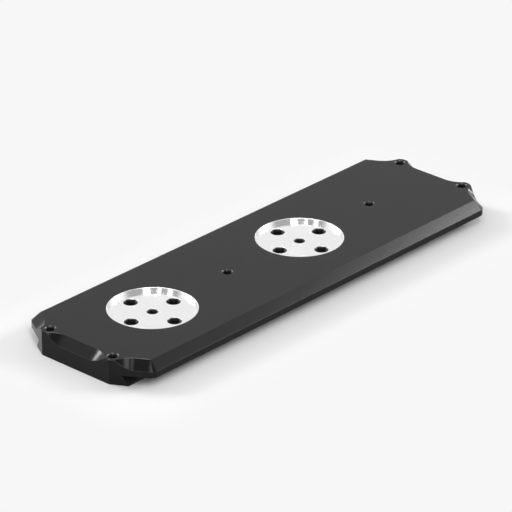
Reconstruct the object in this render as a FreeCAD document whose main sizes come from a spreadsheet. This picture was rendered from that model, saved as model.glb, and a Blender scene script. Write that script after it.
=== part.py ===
"""Dovetail bar: one plate milled from aluminium, with leaning flanks, cut corners and two round seats.

X runs along the bar, Y across it and Z up. The origin is the middle of the underside.
"""
import FreeCAD, Part
import math
import os
import Sketcher

NODE = "dovetail_bar"

# Driving dimensions in millimetres, in the order in which the bar is made.
SIZES = {
    # The section: a dovetail tongue below, upright edges, and bevels that lean in to the top face.
    "length": 325.0,
    "top_width": 90.0,
    "bevel_run": 5.5,
    "bevel_drop": 5.5,
    "edge_height": 4.0,
    "tongue_width": 75.0,
    "tongue_height": 6.5,
    "tongue_undercut": 3.75,
    # The cut corners: what they leave of an end face, their angle in degrees, and the round at the side.
    "end_width": 54.5,
    "corner_angle": 30.0,
    "corner_radius": 6.0,
    # The conical cutter that bevels the ends and corners, and where it stops beside the ears.
    "cutter_radius": 17.0,
    "corner_start": 15.5,
    "end_travel": 23.0,
    # The stations along the bar, in the order seat, hole, seat, hole.
    "station_pitch": 65.0,
    "seat_diameter": 54.0,
    "seat_depth": 2.5,
    "seat_rim": 0.4,
    # Large tapped holes, four on a circle in each seat, bored at the thread's core.
    "bolt_circle": 36.0,
    "large_core": 6.8,
    "large_countersink": 9.0,
    # Small tapped holes, in the middle of each seat, between the seats and in the four ears.
    "small_core": 5.0,
    "small_countersink": 7.2,
    "ear_hole_from_end": 5.5,
    "ear_hole_from_cut": 1.75,
    # How far a cut runs clear of the bar.
    "overrun": 5.0,
}

# Places and angles that follow from the driving dimensions.
TOP = "(sizes.tongue_height + sizes.edge_height + sizes.bevel_drop)"
EDGE_TOP = "(sizes.tongue_height + sizes.edge_height)"
SEAT_FLOOR = f"({TOP} - sizes.seat_depth)"
HALF_TOP = "(sizes.top_width / 2)"
HALF_WIDTH = "(sizes.top_width / 2 + sizes.bevel_run)"
HALF_TONGUE = "(sizes.tongue_width / 2)"
HALF_LENGTH = "(sizes.length / 2)"
HALF_END = "(sizes.end_width / 2)"
CUTTER_TIP = "(sizes.cutter_radius - sizes.bevel_run)"
FIRST_SEAT = "(-1.5 * sizes.station_pitch)"
FIRST_HOLE = "(-0.5 * sizes.station_pitch)"

# The cut corner in plan: its direction and runs, where the cutter starts, and the centre of the round.
ANGLE = "(sizes.corner_angle * 1 deg)"
CORNER_ACROSS = f"({HALF_WIDTH} - {HALF_END})"
CORNER_RUN = f"({CORNER_ACROSS} * tan({ANGLE}))"
CORNER_LENGTH = f"({CORNER_ACROSS} / cos({ANGLE}))"
CUTTER_X = f"({HALF_LENGTH} - sizes.corner_start * sin({ANGLE}) + {CUTTER_TIP} * cos({ANGLE}))"
CUTTER_Y = f"({HALF_END} + sizes.corner_start * cos({ANGLE}) + {CUTTER_TIP} * sin({ANGLE}))"
ROUND_Y = f"({HALF_WIDTH} - sizes.corner_radius)"
ROUND_IN = f"(sizes.corner_radius + ({ROUND_Y} - {HALF_END}) * sin({ANGLE}))"
ROUND_X = f"({HALF_LENGTH} - {ROUND_IN} / cos({ANGLE}))"

ORIGIN = (-1, 1)
START, END, CENTRE = 1, 2, 3
X_AXIS = -1

doc = FreeCAD.newDocument("DovetailBar")
sheet = doc.addObject("Spreadsheet::Sheet", "sizes")
for row, (name, value) in enumerate(SIZES.items(), 1):
    sheet.set(f"A{row}", name)
    sheet.set(f"B{row}", str(value))
    sheet.setAlias(f"B{row}", name)
doc.recompute()

body = doc.addObject("PartDesign::Body", NODE)
body.Label = NODE


def origin_feature(role):
    """One of the body's own planes or axes."""
    return next(item for item in body.Origin.OriginFeatures if item.Role == role)


def new_sketch(name, role, x="0", y="0", z="0", turn="0"):
    """A sketch on an origin plane, moved in that plane's own directions and turned about its upright."""
    sketch = body.newObject("Sketcher::SketchObject", name)
    sketch.AttachmentSupport = [(origin_feature(role), "")]
    sketch.MapMode = "FlatFace"
    sketch.setExpression("AttachmentOffset.Base.x", x)
    sketch.setExpression("AttachmentOffset.Base.y", y)
    sketch.setExpression("AttachmentOffset.Base.z", z)
    sketch.setExpression("AttachmentOffset.Rotation.Axis.y", "1")
    sketch.setExpression("AttachmentOffset.Rotation.Axis.z", "0")
    sketch.setExpression("AttachmentOffset.Rotation.Angle", turn)
    return sketch


def relate(sketch, kind, *where):
    """A geometric relation."""
    sketch.addConstraint(Sketcher.Constraint(kind, *where))


def measure(sketch, kind, *where, start, follow):
    """A dimension with its starting value and the expression that it follows."""
    index = sketch.addConstraint(Sketcher.Constraint(kind, *where, start))
    sketch.setExpression(f"Constraints[{index}]", follow)


def pin(sketch, geometry, point, x, y):
    """Hold a point at a place measured from the sketch's origin."""
    here = sketch.getPoint(geometry, point)
    measure(sketch, "DistanceX", *ORIGIN, geometry, point, start=here.x, follow=x)
    measure(sketch, "DistanceY", *ORIGIN, geometry, point, start=here.y, follow=y)


def outline(sketch, corners):
    """A closed run of straight lines, which starts as a regular polygon and is pulled into place."""
    turns = [2 * math.pi * i / len(corners) for i in range(len(corners))]
    rough = [FreeCAD.Vector(math.cos(turn), math.sin(turn)) * SIZES["length"] for turn in turns]
    lines = [sketch.addGeometry(Part.LineSegment(a, b)) for a, b in zip(rough, rough[1:] + rough[:1])]
    for line, following in zip(lines, lines[1:] + lines[:1]):
        relate(sketch, "Coincident", line, END, following, START)
    for line, (x, y) in zip(lines, corners):
        pin(sketch, line, START, x, y)


def cutter(sketch):
    """Half the conical cutter's section, from its axis towards the bar."""
    outline(sketch, [
        ("0", TOP),
        ("-sizes.cutter_radius", TOP),
        (f"-{CUTTER_TIP}", EDGE_TOP),
        ("0", EDGE_TOP),
    ])


def ring(sketch, diameter, x=None):
    """The circle of a hole, at the sketch's origin or on its X axis."""
    start = FreeCAD.Vector(1, 0) if x else FreeCAD.Vector(0, 0)
    circle = sketch.addGeometry(Part.Circle(start, FreeCAD.Vector(0, 0, 1), 1))
    measure(sketch, "Diameter", circle, start=2, follow=f"sizes.{diameter}")
    if x:
        relate(sketch, "PointOnObject", circle, CENTRE, X_AXIS)
        measure(sketch, "DistanceX", *ORIGIN, circle, CENTRE, start=1, follow=x)
    else:
        relate(sketch, "Coincident", circle, CENTRE, *ORIGIN)


def feature(kind, name, sketch):
    """A feature of the body, made from a sketch that is worked out first."""
    doc.recompute()
    made = body.newObject(f"PartDesign::{kind}", name)
    made.Profile = sketch
    return made


def copies(kind, name, originals):
    """A pattern or mirror of earlier features, which becomes the body's last step."""
    doc.recompute()
    made = body.newObject(f"PartDesign::{kind}", name)
    made.Originals = originals
    body.Tip = made
    return made


def mirror(name, role):
    """One mirror plane of a compound pattern."""
    made = body.newObject("PartDesign::Mirrored", name)
    made.MirrorPlane = (origin_feature(role), [""])
    return made


def along(name):
    """One step of two stations along the bar."""
    made = body.newObject("PartDesign::LinearPattern", name)
    made.Direction = (origin_feature("X_Axis"), [""])
    made.Occurrences = 2
    made.setExpression("Length", "2 * sizes.station_pitch")
    return made


def bevel(name, sketch, travel):
    """The cutter's two marks: the straight cut along its travel, and the round end where it starts."""
    straight = feature("Pocket", f"{name}_straight", sketch)
    straight.setExpression("Length", travel)
    turned = feature("Groove", f"{name}_round", sketch)
    turned.ReferenceAxis = (sketch, ["V_Axis"])
    turned.Angle = 360
    return [straight, turned]


def tapped(name, sketch, size):
    """A tapped hole from the sketch down through the bar, countersunk at its mouth."""
    made = feature("Hole", name, sketch)
    made.DepthType = "ThroughAll"
    made.HoleCutType = "Countersink"
    made.HoleCutCustomValues = True
    made.HoleCutCountersinkAngle = 90
    made.setExpression("Diameter", f"sizes.{size}_core")
    made.setExpression("HoleCutDiameter", f"sizes.{size}_countersink")
    return made


def must_shrink(step, before):
    """The volume after a cut, which has to be less than before it."""
    doc.recompute()
    after = body.Shape.Volume
    if not 0 < after < before - 1:
        raise RuntimeError(f"{step} removed nothing")
    return after


# The bar's section, drawn across and drawn out along X.
section = new_sketch("section", "YZ_Plane")
right_side = [
    (HALF_TONGUE, "0"),
    (f"({HALF_TONGUE} - sizes.tongue_undercut)", "sizes.tongue_height"),
    (HALF_WIDTH, "sizes.tongue_height"),
    (HALF_WIDTH, EDGE_TOP),
    (HALF_TOP, TOP),
]
outline(section, right_side + [(f"-{y}", z) for y, z in reversed(right_side)])
bar = feature("Pad", "bar", section)
bar.SideType = "Symmetric"
bar.setExpression("Length", "sizes.length")
doc.recompute()
remaining = body.Shape.Volume

# One corner is cut off upright, from the end face's edge to the side.
corner_plan = new_sketch("corner_plan", "XY_Plane")
outline(corner_plan, [
    (HALF_LENGTH, HALF_END),
    (f"{HALF_LENGTH} + sizes.overrun", HALF_END),
    (f"{HALF_LENGTH} + sizes.overrun", f"{HALF_WIDTH} + sizes.overrun"),
    (f"{HALF_LENGTH} - {CORNER_RUN}", f"{HALF_WIDTH} + sizes.overrun"),
    (f"{HALF_LENGTH} - {CORNER_RUN}", HALF_WIDTH),
])
corner_cut = feature("Pocket", "corner_cut", corner_plan)
corner_cut.Type = "ThroughAll"
corner_cut.Reversed = True
remaining = must_shrink("corner_cut", remaining)

# The cut corner is bevelled along its top edge, from beside the ear to past the side.
corner_cutter = new_sketch("corner_cutter", "XZ_Plane", CUTTER_X, "0", f"-{CUTTER_Y}", ANGLE)
cutter(corner_cutter)
corner_bevel = bevel("corner_bevel", corner_cutter, CORNER_LENGTH)
remaining = must_shrink("corner_bevel", remaining)

# Where the cut meets the side, the upright edge is rounded and the two bevels meet in a cone.
round_waste = new_sketch("round_waste", "XZ_Plane", ROUND_X, "0", f"-{ROUND_Y}", f"45 deg + {ANGLE} / 2")
outline(round_waste, [
    ("sizes.corner_radius", "0"),
    ("sizes.corner_radius + sizes.overrun", "0"),
    ("sizes.corner_radius + sizes.overrun", TOP),
    ("sizes.corner_radius - sizes.bevel_run", TOP),
    ("sizes.corner_radius", EDGE_TOP),
])
corner_round = feature("Groove", "corner_round", round_waste)
corner_round.ReferenceAxis = (round_waste, ["V_Axis"])
corner_round.Midplane = True
corner_round.setExpression("Angle", f"90 deg - {ANGLE}")
remaining = must_shrink("corner_round", remaining)

# The end face is bevelled from its middle to beside the ear.
END_CUTTER_X = f"{HALF_LENGTH} + {CUTTER_TIP}"
end_cutter = new_sketch("end_cutter", "XZ_Plane", END_CUTTER_X, "0", "-sizes.end_travel / 2")
cutter(end_cutter)
end_bevel = bevel("end_bevel", end_cutter, "sizes.end_travel / 2")
end_bevel[0].Reversed = True
remaining = must_shrink("end_bevel", remaining)

# A tapped hole goes through the ear that the two bevels leave between them.
EAR_X = f"{HALF_LENGTH} - sizes.ear_hole_from_end"
EAR_Y = f"{HALF_END} - sizes.ear_hole_from_cut"
ear_mark = new_sketch("ear_mark", "XY_Plane", EAR_X, EAR_Y, TOP)
ring(ear_mark, "small_core")
ear_hole = tapped("ear_hole", ear_mark, "small")
remaining = must_shrink("ear_hole", remaining)

# The other three quarters of the bar mirror this one.
one_quarter = [corner_cut, *corner_bevel, corner_round, *end_bevel, ear_hole]
quarters = copies("MultiTransform", "quarters", one_quarter)
quarters.Transformations = [mirror("end_to_end", "YZ_Plane"), mirror("side_to_side", "XZ_Plane")]
remaining = must_shrink("quarters", remaining)

# A shallow seat is turned into the top face, with a broken edge.
seat_profile = new_sketch("seat_profile", "XZ_Plane", FIRST_SEAT)
outline(seat_profile, [
    ("0", SEAT_FLOOR),
    ("sizes.seat_diameter / 2", SEAT_FLOOR),
    ("sizes.seat_diameter / 2", f"{TOP} - sizes.seat_rim"),
    ("sizes.seat_diameter / 2 + sizes.seat_rim", TOP),
    ("0", TOP),
])
seat = feature("Groove", "seat", seat_profile)
seat.ReferenceAxis = (seat_profile, ["V_Axis"])
seat.Angle = 360
remaining = must_shrink("seat", remaining)

# Four large tapped holes on a circle, and a small one in the middle, go through the seat.
bolt_mark = new_sketch("bolt_mark", "XY_Plane", FIRST_SEAT, "0", SEAT_FLOOR)
ring(bolt_mark, "large_core", "sizes.bolt_circle / 2")
bolt = tapped("bolt", bolt_mark, "large")
remaining = must_shrink("bolt", remaining)

centre_mark = new_sketch("centre_mark", "XY_Plane", FIRST_SEAT, "0", SEAT_FLOOR)
ring(centre_mark, "small_core")
centre = tapped("centre", centre_mark, "small")
remaining = must_shrink("centre", remaining)

# Between the seats, on the same pitch, stands another small one.
line_mark = new_sketch("line_mark", "XY_Plane", FIRST_HOLE, "0", TOP)
ring(line_mark, "small_core")
line_hole = tapped("line_hole", line_mark, "small")
remaining = must_shrink("line_hole", remaining)

# The large hole is repeated round its seat, and the seat with all its holes two stations on.
bolts = copies("MultiTransform", "bolts", [bolt])
around = body.newObject("PartDesign::PolarPattern", "around_seat")
around.Axis = (bolt_mark, ["N_Axis"])
around.Angle = 360
around.Occurrences = 4
bolts.Transformations = [around, along("bolts_along")]
remaining = must_shrink("bolts", remaining)
stations = copies("MultiTransform", "stations", [seat, centre, line_hole])
stations.Transformations = [along("stations_along")]
remaining = must_shrink("stations", remaining)

# The finished bar is checked before it is written.
for item in doc.Objects:
    if {"Invalid", "Error"} & set(item.State):
        raise RuntimeError(f"{item.Name} failed: {item.getStatusString()}")
if body.Shape.isNull() or not body.Shape.isValid() or len(body.Shape.Solids) != 1:
    raise RuntimeError("the bar is not one sound solid")
os.makedirs("parts", exist_ok=True)
body.Shape.exportStep(f"parts/{body.Label}.step")
box = body.Shape.optimalBoundingBox()
print(f"{NODE}: {box.XLength:.1f} x {box.YLength:.1f} x {box.ZLength:.1f} mm, {remaining / 1000:.1f} cm3")
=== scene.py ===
# %% [markdown]
# A dovetail bar is a flat aluminium plate that a tube or lens is bolted to. A saddle clamps it by the
# undercut tongue along its lower side. The bar is milled, anodised black, and then its two round seats
# are turned bare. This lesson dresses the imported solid: it breaks the sharp edges, cuts the threads,
# gives the finishes and sets up the table and the lights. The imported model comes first, because every
# other piece is placed by it. All lengths are in metres.

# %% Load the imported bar
import math

import bmesh
import bpy
import numpy as np
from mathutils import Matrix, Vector


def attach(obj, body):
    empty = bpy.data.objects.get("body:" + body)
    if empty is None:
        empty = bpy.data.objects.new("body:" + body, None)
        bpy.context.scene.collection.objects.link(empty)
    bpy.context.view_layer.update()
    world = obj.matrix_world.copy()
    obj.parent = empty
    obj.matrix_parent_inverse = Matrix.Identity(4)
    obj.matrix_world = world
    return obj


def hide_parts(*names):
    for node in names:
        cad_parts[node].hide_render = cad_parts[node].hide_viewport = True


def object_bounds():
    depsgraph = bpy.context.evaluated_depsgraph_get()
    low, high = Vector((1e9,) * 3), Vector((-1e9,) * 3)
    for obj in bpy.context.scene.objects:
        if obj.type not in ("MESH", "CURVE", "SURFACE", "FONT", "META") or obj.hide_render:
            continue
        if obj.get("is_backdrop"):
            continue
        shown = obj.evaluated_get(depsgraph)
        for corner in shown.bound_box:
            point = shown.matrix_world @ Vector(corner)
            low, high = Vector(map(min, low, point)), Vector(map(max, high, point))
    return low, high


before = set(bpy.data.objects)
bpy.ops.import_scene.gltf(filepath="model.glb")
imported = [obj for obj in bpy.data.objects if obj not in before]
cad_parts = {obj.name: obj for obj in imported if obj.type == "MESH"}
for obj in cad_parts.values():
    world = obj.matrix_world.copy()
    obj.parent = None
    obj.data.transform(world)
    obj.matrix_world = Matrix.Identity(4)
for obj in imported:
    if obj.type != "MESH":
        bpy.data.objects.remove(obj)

MM = 0.001
cad_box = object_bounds()
scene = bpy.context.scene
scene.view_settings.view_transform = "Standard"
print("packed bar:", [round(side / MM, 1) for side in cad_box[1] - cad_box[0]], "mm")

# %% [markdown]
# The camera stands in front of the near end, 26 degrees above the table, and far off with a long lens,
# so that the bar's sides stay nearly parallel. A camera could be aimed with a constraint, but a direction
# written as two angles is easier to read and to change.

# %% Camera
VIEW_AZIMUTH = math.radians(-47.566)
VIEW_ELEVATION = math.radians(26.058)
AIM = Vector((-4.915, 1.812, 16.0)) * MM
DISTANCE = 2.3713
LENS = 275.1
SENSOR = 36.0


def direction(azimuth, elevation):
    """The unit vector towards an azimuth, counted from the front to the right, and an elevation."""
    flat = math.cos(elevation)
    return Vector((math.sin(azimuth) * flat, -math.cos(azimuth) * flat, math.sin(elevation)))


towards_camera = direction(VIEW_AZIMUTH, VIEW_ELEVATION)
camera_data = bpy.data.cameras.new("camera")
camera_data.lens = LENS
camera_data.sensor_width = SENSOR
camera_data.dof.use_dof = False
camera = bpy.data.objects.new("camera", camera_data)
camera.location = AIM + towards_camera * DISTANCE
camera.rotation_euler = (-towards_camera).to_track_quat("-Z", "Y").to_euler()
scene.collection.objects.link(camera)
scene.camera = camera
print("camera at", [round(c, 3) for c in camera.location])

# %% [markdown]
# Nodes are added many times below, so one helper adds a node, sets its options and fills its inputs. An
# input that is given a socket is linked, and one that is given a number or colour keeps it. The others
# give the results of the nodes that are used most, and the last one empties a new tree.

# %% Helpers for nodes


def add(tree, kind, inputs=None, **options):
    """Add a node with its options and inputs, and return it."""
    made = tree.nodes.new(kind)
    for name, value in options.items():
        setattr(made, name, value)
    for name, value in (inputs or {}).items():
        if isinstance(value, bpy.types.NodeSocket):
            tree.links.new(value, made.inputs[name])
        else:
            made.inputs[name].default_value = value
    return made


def calc(tree, operation, *values):
    """The result of a Math node."""
    return add(tree, "ShaderNodeMath", dict(enumerate(values)), operation=operation).outputs[0]


def vector(tree, operation, *values):
    """The result of a Vector Math node: a number for a length or a dot product, and else a vector."""
    made = add(tree, "ShaderNodeVectorMath", dict(enumerate(values)), operation=operation)
    return made.outputs["Value" if operation in ("LENGTH", "DOT_PRODUCT") else "Vector"]


def mix(tree, share, first, second):
    """The result of a Mix node for two numbers."""
    return add(tree, "ShaderNodeMix", {0: share, 2: first, 3: second}).outputs[0]


def remap(tree, value, low, high, to_low, to_high, kind="SMOOTHSTEP"):
    """The result of a Map Range node, held between its two ends."""
    inputs = {"Value": value, "From Min": low, "From Max": high, "To Min": to_low, "To Max": to_high}
    return add(tree, "ShaderNodeMapRange", inputs, interpolation_type=kind).outputs["Result"]


def blank(tree):
    """Remove the nodes that a new tree starts with."""
    for node in list(tree.nodes):
        tree.nodes.remove(node)
    return tree


print("node helpers:", [helper.__name__ for helper in (add, calc, vector, mix, remap, blank)])

# %% [markdown]
# The studio is a white sweep behind the bar, bright screens to its sides, and a darker room in front and
# overhead, with one small skylight that brightens the seats' rims and the mouths of the holes. Shiny metal
# mirrors all of it, with a soft change from one part to the next. The world's own nodes draw it, from the
# direction that a ray goes in, because real walls would stand in the way of other views.

# %% Surroundings that the metal mirrors
WHITE = 0.926
SIDES = 1.4
ROOM = 0.5
SKYLIGHT = 20.0
ROOM_TO_SIDES = (-0.45, -0.10)
SIDES_TO_SWEEP = (0.45, 0.80)
SCREEN_TOPS = (0.66, 0.85)
SKYLIGHT_EDGE = (0.966, 0.990)

away = Vector((-towards_camera.x, -towards_camera.y, 0.0)).normalized()
overhead = direction(azimuth=math.radians(152), elevation=math.radians(70))
world = bpy.data.worlds.new("studio")
scene.world = world
world.use_nodes = True
world.cycles.sampling_method = "NONE"
tree = blank(world.node_tree)
looking = add(tree, "ShaderNodeTexCoord").outputs["Generated"]
behind = vector(tree, "DOT_PRODUCT", looking, away)
height = add(tree, "ShaderNodeSeparateXYZ", {0: looking}).outputs["Z"]
round_about = calc(
    tree, "ADD",
    remap(tree, behind, *ROOM_TO_SIDES, 0.0, SIDES - ROOM),
    remap(tree, behind, *SIDES_TO_SWEEP, 0.0, WHITE - SIDES),
)
walls = calc(tree, "MULTIPLY_ADD", round_about, remap(tree, height, *SCREEN_TOPS, 1.0, 0.0), ROOM)
to_skylight = vector(tree, "DOT_PRODUCT", looking, overhead)
mirrored = calc(tree, "ADD", walls, remap(tree, to_skylight, *SKYLIGHT_EDGE, 0.0, SKYLIGHT))
print("mirrored: white", WHITE, "sides", SIDES, "room", ROOM, "skylight", SKYLIGHT)

# %% [markdown]
# The camera sees plain white all round. Rays that only carry soft light get a calmer change than mirrored
# ones, brighter from the sweep than from the room, which leaves a soft shadow on the camera's side of the
# bar. The Light Path node tells the three kinds of rays apart.

# %% Surroundings for soft light and for the camera
FILL_FROM_ROOM = 0.10
FILL_FROM_SWEEP = 0.55
FILL_CHANGE = (-0.6, 0.6)

fill = remap(tree, behind, *FILL_CHANGE, FILL_FROM_ROOM, FILL_FROM_SWEEP)
path = add(tree, "ShaderNodeLightPath").outputs
shiny = calc(tree, "MAXIMUM", path["Is Glossy Ray"], path["Is Transmission Ray"])
seen = mix(tree, path["Is Camera Ray"], mix(tree, shiny, fill, mirrored), WHITE)
background = add(tree, "ShaderNodeBackground", {"Color": (1.0, 1.0, 1.0, 1.0), "Strength": seen})
add(tree, "ShaderNodeOutputWorld", {"Surface": background.outputs[0]})
print("soft light: from the room", FILL_FROM_ROOM, "from the sweep", FILL_FROM_SWEEP)

# %% [markdown]
# The table is a large sheet of matt white paper. It lies a hair's breadth below the bar, because two faces
# in one place would show through each other.

# %% Table
TABLE_SIZE = 6.0
GAP = 0.02 * MM

table_mesh = bpy.data.meshes.new("table")
half = TABLE_SIZE / 2
corners = [(x * half, y * half, -GAP) for x, y in ((-1, -1), (1, -1), (1, 1), (-1, 1))]
table_mesh.from_pydata(corners, [], [(0, 1, 2, 3)])
table = bpy.data.objects.new("table", table_mesh)
scene.collection.objects.link(table)
print("table", TABLE_SIZE, "m square")

# %% [markdown]
# Close to the bar the paper is lit like any surface, so that it keeps the soft shadow under the edges.
# Further out it turns, for the camera alone, into the plain white of the sweep. The distance is measured
# from the bar's own rectangle, so that the change follows its sides. From below the paper is left out, so
# that the underside can be looked at too.

# %% White paper
SHADOW_REACH = (0.006, 0.048)
PAPER_TONE = 0.90

paper = bpy.data.materials.new("white_paper")
paper.use_nodes = True
tree = blank(paper.node_tree)
place = add(tree, "ShaderNodeTexCoord").outputs["Object"]
bar_corner = (cad_box[1].x, cad_box[1].y, 0.0)
past = vector(tree, "SUBTRACT", vector(tree, "ABSOLUTE", place), bar_corner)
far = vector(tree, "LENGTH", vector(tree, "MAXIMUM", past, (0.0, 0.0, 0.0)))
path = add(tree, "ShaderNodeLightPath").outputs
plain = calc(tree, "MULTIPLY", remap(tree, far, *SHADOW_REACH, 0.0, 1.0), path["Is Camera Ray"])
lit = add(tree, "ShaderNodeBsdfDiffuse", {"Color": (PAPER_TONE, PAPER_TONE, PAPER_TONE, 1.0)})
sweep_white = add(tree, "ShaderNodeEmission", {"Strength": WHITE})
mixed = add(tree, "ShaderNodeMixShader", {0: plain, 1: lit.outputs[0], 2: sweep_white.outputs[0]})
from_below = add(tree, "ShaderNodeNewGeometry").outputs["Backfacing"]
from_underside = calc(tree, "LESS_THAN", path["Ray Length"], 2 * GAP)
left_out = calc(tree, "MAXIMUM", from_below, from_underside)
clear = add(tree, "ShaderNodeBsdfTransparent")
one_way = add(tree, "ShaderNodeMixShader", {0: left_out, 1: mixed.outputs[0], 2: clear.outputs[0]})
add(tree, "ShaderNodeOutputMaterial", {"Surface": one_way.outputs[0]})
table_mesh.materials.append(paper)
table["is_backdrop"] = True
print("paper keeps its shadow for", [round(reach / MM) for reach in SHADOW_REACH], "mm")

# %% [markdown]
# Six lamps stand round the bar. The large softbox to the right draws the bright gradient on the long
# bevel, the small low one beside it puts a glint in the far corner's run-out, and the one behind on the
# left draws the streak in the run-out at the near end. Three upright strips in front give the thin streaks
# in the right corner and on the seats' walls. The left softbox is brightest in the middle and fades to its
# rim, so its strength is a fade over its face.

# %% Lamps
LAMP_DISTANCE = 3.0


def lamp(name, azimuth, elevation, brightness, width, tall=None, core=1.0):
    """A lamp that faces the bar, round unless it is given a height.

    It is evenly bright in its core, a share of its face, and fades outside it.
    """
    data = bpy.data.lights.new(name, "AREA")
    data.shape = "RECTANGLE" if tall else "DISK"
    data.size = width
    data.size_y = tall or width
    area = width * tall if tall else math.pi / 4 * width ** 2
    data.energy = brightness * math.pi * area
    data.use_nodes = True
    tree = blank(data.node_tree)
    strength = 1.0
    if core < 1.0:
        # The face's own coordinates run from 0 to 1, so its middle is at one half.
        face = add(tree, "ShaderNodeNewGeometry").outputs["Parametric"]
        out = vector(tree, "LENGTH", vector(tree, "ADD", face, (-0.5, -0.5, 0.0)))
        strength = calc(tree, "POWER", remap(tree, out, core / 2, 0.5, 1.0, 0.0, "LINEAR"), 2.0)
    glow = add(tree, "ShaderNodeEmission", {"Strength": strength})
    add(tree, "ShaderNodeOutputLight", {"Surface": glow.outputs[0]})
    made = bpy.data.objects.new(name, data)
    aim = direction(math.radians(azimuth), math.radians(elevation))
    made.location = aim * LAMP_DISTANCE
    made.rotation_euler = aim.to_track_quat("Z", "Y").to_euler()
    made.visible_camera = False
    scene.collection.objects.link(made)
    print(name, "at azimuth", azimuth, "elevation", elevation)


lamp("right_softbox", azimuth=59.5, elevation=25.2, brightness=19.2, width=0.9)
lamp("low_softbox", azimuth=97.0, elevation=6.0, brightness=14.0, width=0.26)
lamp("left_softbox", azimuth=195.5, elevation=28.5, brightness=32.0, width=1.6, core=0.10)
lamp("right_strip", azimuth=-33.0, elevation=44.0, brightness=5.7, width=0.70, tall=3.1)
lamp("left_strip", azimuth=-65.5, elevation=44.0, brightness=7.0, width=0.20, tall=3.1)
lamp("far_left_strip", azimuth=-92.6, elevation=27.0, brightness=1.6, width=0.60, tall=1.6)

# %% [markdown]
# The bar's shape is the imported solid's. The imported mesh is loose triangles, so a copy of it is merged, and
# its flat triangles are joined into whole faces. The copy gets five material slots: the black skin, the
# worn edges, the bare seats, the tapped threads and the countersinks with a painted glint. They are filled in
# below.

# %% Bar as whole faces
SAME_POINT = 0.001 * MM
FLAT_ENOUGH = math.radians(0.05)
SKIN, WORN, BARE, TAPPED, CONE_GLINT_PAINTED = range(5)

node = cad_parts["dovetail_bar"]
shape = bmesh.new()
shape.from_mesh(node.data)
bmesh.ops.remove_doubles(shape, verts=shape.verts, dist=SAME_POINT)
bmesh.ops.dissolve_limit(shape, angle_limit=FLAT_ENOUGH, verts=shape.verts, edges=shape.edges)
bar_mesh = bpy.data.meshes.new("bar")
shape.to_mesh(bar_mesh)
shape.free()
bar_mesh.materials.clear()
black = bpy.data.materials.new("black_anodised_skin")
worn = bpy.data.materials.new("worn_black_edge")
bare = bpy.data.materials.new("bare_turned_metal")
tapped = bpy.data.materials.new("black_tapped_thread")
cone_glint_painted = bpy.data.materials.new("countersink_glint_painted")
for finish in (black, worn, bare, tapped, cone_glint_painted):
    bar_mesh.materials.append(finish)
for face in bar_mesh.polygons:
    face.material_index = SKIN
bar = bpy.data.objects.new("bar", bar_mesh)
scene.collection.objects.link(bar)
print("merged bar:", len(bar_mesh.polygons), "faces")

# %% [markdown]
# A real edge is never perfectly sharp: after milling it is broken by a fraction of a millimetre, and that
# thin facet catches the light. A Bevel modifier breaks every edge that bends enough, and gives the facets
# the slot of the worn edges. Modelling each edge by hand would look the same and take much more work.

# %% Broken edges
EDGE_BREAK = 0.2 * MM
EDGE_BEND = math.radians(35)

breaker = bar.modifiers.new("broken_edges", "BEVEL")
breaker.width = EDGE_BREAK
breaker.segments = 2
breaker.limit_method = "ANGLE"
breaker.angle_limit = EDGE_BEND
breaker.use_clamp_overlap = False
breaker.material = WORN


def settle(piece):
    """Turn a piece's modifiers into a plain mesh."""
    made = bpy.data.meshes.new_from_object(piece.evaluated_get(bpy.context.evaluated_depsgraph_get()))
    made.name = piece.name
    piece.modifiers.clear()
    piece.data = made
    return made


bar_mesh = settle(bar)
print("broken edges:", len(bar_mesh.polygons), "faces")

# %% [markdown]
# All the holes are tapped: eight for 8 mm screws in the seats, and eight for 6 mm screws in the middle of
# each seat, on the middle line and in the ears. The solid has plain bores at the thread's core, so the
# grooves are cut here. First the holes are listed by kind, with the level that they start from.

# %% The tapped holes
TOP_FACE = 16.0 * MM
SEAT_FLOOR = 13.5 * MM
SEATS = (Vector((-97.5, 0.0, 0.0)) * MM, Vector((32.5, 0.0, 0.0)) * MM)
LINE = [Vector((x, 0.0, 0.0)) * MM for x in (-32.5, 97.5)]
EARS = [Vector((x, y, 0.0)) * MM for x in (-157.0, 157.0) for y in (-25.5, 25.5)]
ROUND_A_SEAT = [Vector((x, y, 0.0)) * MM for x, y in ((18, 0), (0, 18), (-18, 0), (0, -18))]
SMALL = dict(core=2.5 * MM, pitch=1.0 * MM)
LARGE = dict(core=3.4 * MM, pitch=1.25 * MM)

in_seats = [seat + step for seat in SEATS for step in ROUND_A_SEAT]
KINDS = {
    "small_on_top": dict(holes=LINE + EARS, level=TOP_FACE, **SMALL),
    "small_in_seat": dict(holes=list(SEATS), level=SEAT_FLOOR, **SMALL),
    "large_in_seat": dict(holes=in_seats, level=SEAT_FLOOR, **LARGE),
}
print({name: len(kind["holes"]) for name, kind in KINDS.items()}, "tapped holes")

# %% [markdown]
# The tap widens the foot of a countersink to the thread's full width. The countersink is a few rings of
# points round the hole. Three short lists in millimetres say how far each ring is out from the core, how
# far out it goes, and how far down from the face. The cone gets a slot of its own, whose paler tone is a
# painted glint.

# %% Mouths of the tapped holes
RING_OUT = [0.0, 0.04, 0.14, 0.96, 1.12, 1.30]
NEW_OUT = [0.60, 0.61, 0.64, 1.02, 1.07, 1.10]
NEW_DOWN = [0.62, 0.57, 0.51, 0.05, 0.02, 0.0]
MOUTH_DEPTH = 2.0 * MM
SLACK = 0.01 * MM
RIM_SLACK = 0.05 * MM

shape = bmesh.new()
shape.from_mesh(bar_mesh)


def reach_of(vert, hole):
    """How far a point is from the axis of a hole."""
    return (vert.co.xy - hole.xy).length


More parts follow.
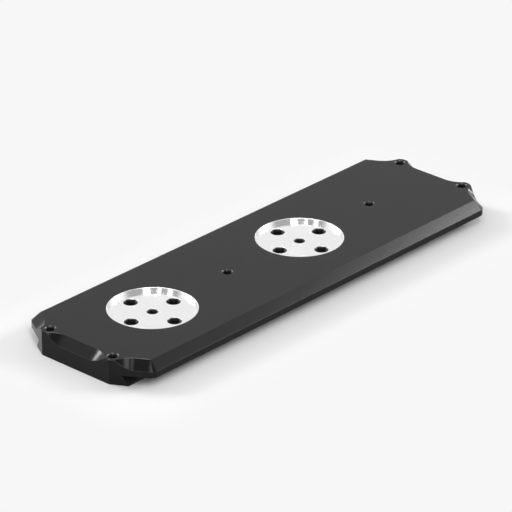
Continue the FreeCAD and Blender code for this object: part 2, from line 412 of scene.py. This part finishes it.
def open_mouth(hole, level, core):
    """Widen a countersink's foot, and give its cone the slot with the painted glint."""
    rim = core + RING_OUT[-1] * MM
    points = {
        vert for vert in shape.verts
        if level - MOUTH_DEPTH < vert.co.z < level + SLACK and reach_of(vert, hole) < rim + RIM_SLACK
    }
    for vert in points:
        out = (reach_of(vert, hole) - core) / MM
        spoke = (vert.co - hole).xy.normalized() * (core + np.interp(out, RING_OUT, NEW_OUT) * MM)
        vert.co = (hole.x + spoke.x, hole.y + spoke.y, level - np.interp(out, RING_OUT, NEW_DOWN) * MM)
    # Each cone takes the slot whose paler tone is a painted glint.
    for cone in {face for vert in points for face in vert.link_faces if points.issuperset(face.verts)}:
        cone.material_index = CONE_GLINT_PAINTED
    return len(points)


for name, kind in KINDS.items():
    moved = [open_mouth(hole, kind["level"], kind["core"]) for hole in kind["holes"]]
    print(name, "mouths have", moved, "points")

# %% [markdown]
# The plain walls are taken out, and the rings of points that they leave are measured, so that the new
# walls can meet them point for point.

# %% Plain walls of the tapped holes
WIDENING = NEW_OUT[0] * MM
SHORTEST_WALL = 5.0 * MM


def take_out_walls(holes, core, **others):
    """Delete the plain walls of some holes, and measure the rings that they leave."""
    inside = core + WIDENING + SLACK
    walls = [
        face for face in shape.faces
        if any(all(reach_of(vert, hole) < inside for vert in face.verts) for hole in holes)
        and max(vert.co.z for vert in face.verts) - min(vert.co.z for vert in face.verts) > SHORTEST_WALL
    ]
    rings = {vert for face in walls for vert in face.verts}
    levels = [vert.co.z for vert in rings]
    turns = []
    for hole in holes:
        spokes = [(vert.co - hole).xy for vert in rings if reach_of(vert, hole) < inside]
        turns.append(min(math.atan2(spoke.y, spoke.x) % math.tau for spoke in spokes))
    bmesh.ops.delete(shape, geom=walls, context="FACES")
    return dict(sides=len(spokes) // 2, turns=turns, bottom=min(levels), top=max(levels))


for name, kind in KINDS.items():
    kind.update(take_out_walls(**kind))
    print(name, "rings of", kind["sides"], "points, up to", round(kind["top"] / MM, 2), "mm")

# %% [markdown]
# Geometry Nodes make one grooved tube and set it into every hole. A Screw modifier could turn a thread
# profile instead, but its ends would not meet the bar's rings. The tree starts with its inputs, so that
# one tree serves both sizes of screw, and with a plain tube.

# %% Thread tree: inputs and tube
INPUTS = {
    "Holes": "NodeSocketGeometry",
    "Sides": "NodeSocketInt",
    "Rows": "NodeSocketInt",
    "Core": "NodeSocketFloat",
    "Widening": "NodeSocketFloat",
    "Length": "NodeSocketFloat",
    "Pitch": "NodeSocketFloat",
    "Groove": "NodeSocketFloat",
    "Finish": "NodeSocketMaterial",
}

thread_tree = bpy.data.node_groups.new("tapped_thread", "GeometryNodeTree")
sockets = {}
for name, kind_of_socket in INPUTS.items():
    made = thread_tree.interface.new_socket(name, in_out="INPUT", socket_type=kind_of_socket)
    sockets[name] = made.identifier
thread_tree.interface.new_socket("Threads", in_out="OUTPUT", socket_type="NodeSocketGeometry")
given = add(thread_tree, "NodeGroupInput").outputs
tube = add(thread_tree, "GeometryNodeMeshCylinder", {
    "Vertices": given["Sides"], "Side Segments": given["Rows"],
    "Radius": given["Core"], "Depth": given["Length"]}, fill_type="NONE").outputs["Mesh"]
print("thread tree takes", list(sockets))

# %% [markdown]
# A thread is a groove that climbs by one pitch in each turn. So each point of the tube is as deep in the
# groove as its height, less its share of a turn, says. The groove runs out at the lower end, and at the
# upper end it leads into the widened mouth.

# %% Thread tree: depth of the groove
CREST_TO_ROOT = (0.12, 0.44)
LEAD_IN = 0.4

spot = add(thread_tree, "GeometryNodeInputPosition").outputs[0]
axes = add(thread_tree, "ShaderNodeSeparateXYZ", {0: spot}).outputs
turned = calc(thread_tree, "DIVIDE", calc(thread_tree, "ARCTAN2", axes["Y"], axes["X"]), math.tau)
climb = calc(thread_tree, "SUBTRACT", calc(thread_tree, "DIVIDE", axes["Z"], given["Pitch"]), turned)
from_crest = calc(thread_tree, "PINGPONG", climb, 0.5)
ridge = remap(thread_tree, from_crest, *CREST_TO_ROOT, 0.0, 1.0, "LINEAR")
half_length = calc(thread_tree, "MULTIPLY", given["Length"], 0.5)
from_bottom = calc(thread_tree, "ADD", half_length, axes["Z"])
from_top = calc(thread_tree, "SUBTRACT", half_length, axes["Z"])
run_out = remap(thread_tree, from_bottom, 0.0, given["Pitch"], 0.0, 1.0, "LINEAR")
groove = calc(thread_tree, "MULTIPLY", calc(thread_tree, "MULTIPLY", ridge, run_out), given["Groove"])
lead_length = calc(thread_tree, "MULTIPLY", given["Pitch"], LEAD_IN)
lead_in = remap(thread_tree, from_top, 0.0, lead_length, 1.0, 0.0, "LINEAR")
depth = mix(thread_tree, lead_in, groove, given["Widening"])
print("thread tree:", len(thread_tree.nodes), "nodes so far")

# %% [markdown]
# Each point is pushed outwards by that depth, and the tube is turned inside out, because a hole's wall
# faces its axis. Then one tube goes to each hole, turned so that its points meet the bar's.

# %% Thread tree: one thread in every hole
LEVEL = (1.0, 1.0, 0.0)

outward = vector(thread_tree, "NORMALIZE", vector(thread_tree, "MULTIPLY", spot, LEVEL))
push = add(thread_tree, "ShaderNodeVectorMath", {0: outward, "Scale": depth}, operation="SCALE").outputs[0]
grooved = add(thread_tree, "GeometryNodeSetPosition", {"Geometry": tube, "Offset": push}).outputs[0]
inward = add(thread_tree, "GeometryNodeFlipFaces", {"Mesh": grooved}).outputs[0]
ring_turn = add(thread_tree, "GeometryNodeInputNamedAttribute", {"Name": "turn"}, data_type="FLOAT")
turn = add(thread_tree, "ShaderNodeCombineXYZ", {"Z": ring_turn.outputs[0]}).outputs[0]
placed = add(thread_tree, "GeometryNodeInstanceOnPoints", {
    "Points": given["Holes"], "Instance": inward, "Rotation": turn}).outputs[0]
solid = add(thread_tree, "GeometryNodeRealizeInstances", {0: placed}).outputs[0]
finished = add(thread_tree, "GeometryNodeSetMaterial", {
    "Geometry": solid, "Material": given["Finish"]}).outputs[0]
add(thread_tree, "NodeGroupOutput", {"Threads": finished})
print("thread tree:", len(thread_tree.nodes), "nodes")

# %% [markdown]
# The tree runs on one point for each hole, once for each kind, and its result is joined to the bar. A
# standard thread's groove is about half as deep as its pitch. Points that coincide are merged, which
# closes the seam between wall and bar.

# %% Threads set into the bar
GROOVE_SHARE = 0.5
ROWS_A_TURN = 8
SEAM = 0.002 * MM


def thread_mesh(name, holes, core, pitch, sides, turns, bottom, top, **others):
    """The threads of one kind of hole, as a plain mesh."""
    middle = Vector((0.0, 0.0, (bottom + top) / 2))
    marks = bpy.data.meshes.new(name)
    marks.from_pydata([hole + middle for hole in holes], [], [])
    marks.attributes.new("turn", "FLOAT", "POINT").data.foreach_set("value", turns)
    threads = bpy.data.objects.new(name, marks)
    scene.collection.objects.link(threads)
    tapping = threads.modifiers.new("tapping", "NODES")
    tapping.node_group = thread_tree
    values = {
        "Sides": sides, "Rows": round((top - bottom) / pitch * ROWS_A_TURN), "Core": core,
        "Widening": WIDENING, "Length": top - bottom, "Pitch": pitch, "Groove": pitch * GROOVE_SHARE,
        "Finish": tapped,
    }
    for socket, value in values.items():
        tapping[sockets[socket]] = value
    made = settle(threads)
    bpy.data.objects.remove(threads)
    return made


bar_faces = set(shape.faces)
for name, kind in KINDS.items():
    shape.from_mesh(thread_mesh(name, **kind))
for face in set(shape.faces) - bar_faces:
    face.material_index = TAPPED
bmesh.ops.remove_doubles(shape, verts=shape.verts, dist=SEAM)
open_edges = sum(not edge.is_manifold for edge in shape.edges)
print("threads set in:", len(shape.faces), "faces,", open_edges, "open edges")
shape.to_mesh(bar_mesh)
shape.free()

# %% [markdown]
# Black anodising is a thin, hard, dyed skin on the metal. It is smooth enough to mirror lamps softly,
# dark at a steep glance and paler at a shallow one. A Principled shader with a dark base and a weak
# mirror does that. Fine grain in the gloss, and faint streaks along the cutter's path, keep it from
# looking like plastic. On the broken edges the skin is worn paler and shinier, and in the threads it is a
# little rougher. On the countersinks it mirrors more strongly, and its paler tone is a painted glint. All
# of them use the same recipe with other numbers.

# %% Black anodised finishes
GRAIN = 2500.0
STREAKS = (30.0, 1800.0, 1800.0)
CLOUDS = 40.0
CLOUD_RANGE = (0.3, 0.7)
TEXTURE_RANGE = (0.6, 1.4)
ROUGHER = 0.02
DENT_STRENGTH = 0.03
DENT_DEPTH = 0.02 * MM


def noise(tree, place, scale, detail):
    """The result of a Noise Texture."""
    return add(tree, "ShaderNodeTexNoise", {"Vector": place, "Scale": scale, "Detail": detail}).outputs[0]


def grey(tree, tone):
    """A grey whose tone varies."""
    return add(tree, "ShaderNodeCombineColor", {"Red": tone, "Green": tone, "Blue": tone}).outputs[0]


def anodised(finish, dark, pale, roughness, mirror):
    """Fill a material with dyed skin: its darkest and palest tone, roughness and mirror strength."""
    finish.use_nodes = True
    tree = blank(finish.node_tree)
    place = add(tree, "ShaderNodeTexCoord").outputs["Object"]
    streaks = noise(tree, vector(tree, "MULTIPLY", place, STREAKS), scale=1.0, detail=2.0)
    texture = calc(tree, "ADD", noise(tree, place, GRAIN, detail=3.0), streaks)
    tone = remap(tree, noise(tree, place, CLOUDS, detail=3.0), *CLOUD_RANGE, dark, pale, "LINEAR")
    rough = remap(tree, texture, *TEXTURE_RANGE, roughness - ROUGHER, roughness + ROUGHER, "LINEAR")
    dents = add(tree, "ShaderNodeBump", {
        "Height": texture, "Strength": DENT_STRENGTH, "Distance": DENT_DEPTH}).outputs[0]
    skin = add(tree, "ShaderNodeBsdfPrincipled", {
        "Base Color": grey(tree, tone), "Roughness": rough, "Specular IOR Level": mirror, "Normal": dents})
    add(tree, "ShaderNodeOutputMaterial", {"Surface": skin.outputs[0]})
    print(finish.name, "roughness about", roughness)


anodised(black, dark=0.0055, pale=0.0070, roughness=0.176, mirror=0.156)
anodised(worn, dark=0.007, pale=0.014, roughness=0.22, mirror=0.30)
anodised(tapped, dark=0.0060, pale=0.0090, roughness=0.26, mirror=0.12)
# The countersinks mirror more strongly, and their paler tone is a painted glint.
anodised(cone_glint_painted, dark=0.014, pale=0.034, roughness=0.22, mirror=0.50)

# %% [markdown]
# The seats are turned after anodising, so they are bare aluminium. The tool leaves fine rings round each
# seat's middle, on the floor and on the wall. The rings are noise over the distance from the nearer
# middle. They spread reflections across themselves: outwards on the floor, and up and down on the wall.
# So the shader is told to spread along a direction that goes both outwards and up, because only the part
# of it that lies in the surface counts.

# %% Bare turned finish: where a point is, and its texture
RINGS = 6000.0
SPECKS = 1500.0
UP = (0.0, 0.0, 1.0)

bare.use_nodes = True
tree = blank(bare.node_tree)
place = add(tree, "ShaderNodeTexCoord").outputs["Object"]
along = add(tree, "ShaderNodeSeparateXYZ", {0: place}).outputs["X"]
is_second = calc(tree, "GREATER_THAN", along, (SEATS[0].x + SEATS[1].x) / 2)
middle_x = calc(tree, "MULTIPLY_ADD", is_second, SEATS[1].x - SEATS[0].x, SEATS[0].x)
middle = add(tree, "ShaderNodeCombineXYZ", {"X": middle_x}).outputs[0]
spoke = vector(tree, "MULTIPLY", vector(tree, "SUBTRACT", place, middle), LEVEL)
reach = vector(tree, "LENGTH", spoke)
across = vector(tree, "ADD", vector(tree, "NORMALIZE", spoke), UP)
rings = add(tree, "ShaderNodeTexNoise", {
    "W": reach, "Scale": RINGS, "Detail": 2.0}, noise_dimensions="1D").outputs[0]
texture = calc(tree, "ADD", rings, noise(tree, place, SPECKS, detail=2.0))
print(bare.name, "round", len(SEATS), "middles")

# %% [markdown]
# The wall is a little darker than the floor. The chamfered rim is coarser and carries painted shade that
# makes it darker, which keeps it a thin even line under the lamps. Both are found by their distance from
# the seat's middle.

# %% Bare turned finish: floor, wall and rim
WALL_FROM = (26.85 * MM, 26.97 * MM)
RIM_FROM = (27.03 * MM, 27.12 * MM)
FLOOR_TONE = (0.87, 0.93)
FLOOR_ROUGHNESS = (0.11, 0.17)
WALL_DARKER = 0.14
RIM_PAINTED_SHADE = 0.30
RIM_COARSER = 0.35
RING_STRENGTH = 0.10
RING_DEPTH = 0.01 * MM
SPREAD = 0.6

on_rim = remap(tree, reach, *RIM_FROM, 0.0, 1.0)
on_wall = calc(tree, "SUBTRACT", remap(tree, reach, *WALL_FROM, 0.0, 1.0), on_rim)
floor_tone = remap(tree, texture, *TEXTURE_RANGE, *FLOOR_TONE, "LINEAR")
wall_tone = calc(tree, "MULTIPLY_ADD", on_wall, -WALL_DARKER, floor_tone)
# The rim's darker tone is painted shade.
tone = calc(tree, "MULTIPLY_ADD", on_rim, -RIM_PAINTED_SHADE, wall_tone)
floor_rough = remap(tree, texture, *TEXTURE_RANGE, *FLOOR_ROUGHNESS, "LINEAR")
rough = calc(tree, "MULTIPLY_ADD", on_rim, RIM_COARSER, floor_rough)
dents = add(tree, "ShaderNodeBump", {
    "Height": rings, "Strength": RING_STRENGTH, "Distance": RING_DEPTH}).outputs[0]
metal = add(tree, "ShaderNodeBsdfPrincipled", {
    "Base Color": grey(tree, tone), "Metallic": 1.0, "Roughness": rough, "Anisotropic": SPREAD,
    "Tangent": across, "Normal": dents})
add(tree, "ShaderNodeOutputMaterial", {"Surface": metal.outputs[0]})
print(bare.name, "tone", FLOOR_TONE, "roughness", FLOOR_ROUGHNESS)

# %% [markdown]
# The bare finish goes on every face of a seat: its floor, wall and rim. They are found by their place, near
# a seat's middle and between its floor and the top. The threads and most of each cone lie lower, and keep
# their own slots.

# %% Which faces are bare
SEAT_REACH = 27.42 * MM
BELOW_FLOOR = 0.05 * MM
BELOW_TOP = 0.001 * MM


def in_seat(point):
    """Whether a face's middle lies on a seat's floor, wall or rim, and not down a hole."""
    out = min((point.xy - seat.xy).length for seat in SEATS)
    return out < SEAT_REACH and SEAT_FLOOR - BELOW_FLOOR < point.z < TOP_FACE - BELOW_TOP


for face in bar_mesh.polygons:
    if in_seat(face.center):
        face.material_index = BARE
slots = [face.material_index for face in bar_mesh.polygons]
for i, finish in enumerate(bar_mesh.materials):
    print(finish.name, "on", slots.count(i), "faces")

# %% [markdown]
# Round walls should shade smoothly and flat faces should stay flat. Edges that bend by more than 28
# degrees are marked sharp, and a Weighted Normal modifier lets each large flat face rule the shading at
# its border. The largest faces then get their own normal at every corner, because even a bend of under
# half a degree shows in a long reflection.

# %% Shading
SHARP_BEND = math.radians(28)
LARGE_FACE = 100 * MM * MM

bar_mesh.shade_smooth()
bar_mesh.set_sharp_from_angle(angle=SHARP_BEND)
flattener = bar.modifiers.new("flat_faces_stay_flat", "WEIGHTED_NORMAL")
flattener.keep_sharp = True
flattener.weight = 100
bar_mesh = settle(bar)
normals = [corner.vector.copy() for corner in bar_mesh.corner_normals]
large = [face for face in bar_mesh.polygons if face.area > LARGE_FACE]
for face in large:
    for i in face.loop_indices:
        normals[i] = face.normal
bar_mesh.normals_split_custom_set(normals)
print("dressed bar:", len(bar_mesh.polygons), "faces,", len(large), "of them large and flat")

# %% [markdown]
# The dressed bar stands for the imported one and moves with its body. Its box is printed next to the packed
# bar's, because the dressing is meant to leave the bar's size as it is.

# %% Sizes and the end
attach(bar, "root")
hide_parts("dovetail_bar")
sizes = {"cad": [list(corner) for corner in cad_box], "visual": [list(corner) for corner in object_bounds()]}
for name, (low, high) in sizes.items():
    print(name, "size in mm:", [round((b - a) / MM, 2) for a, b in zip(low, high)])
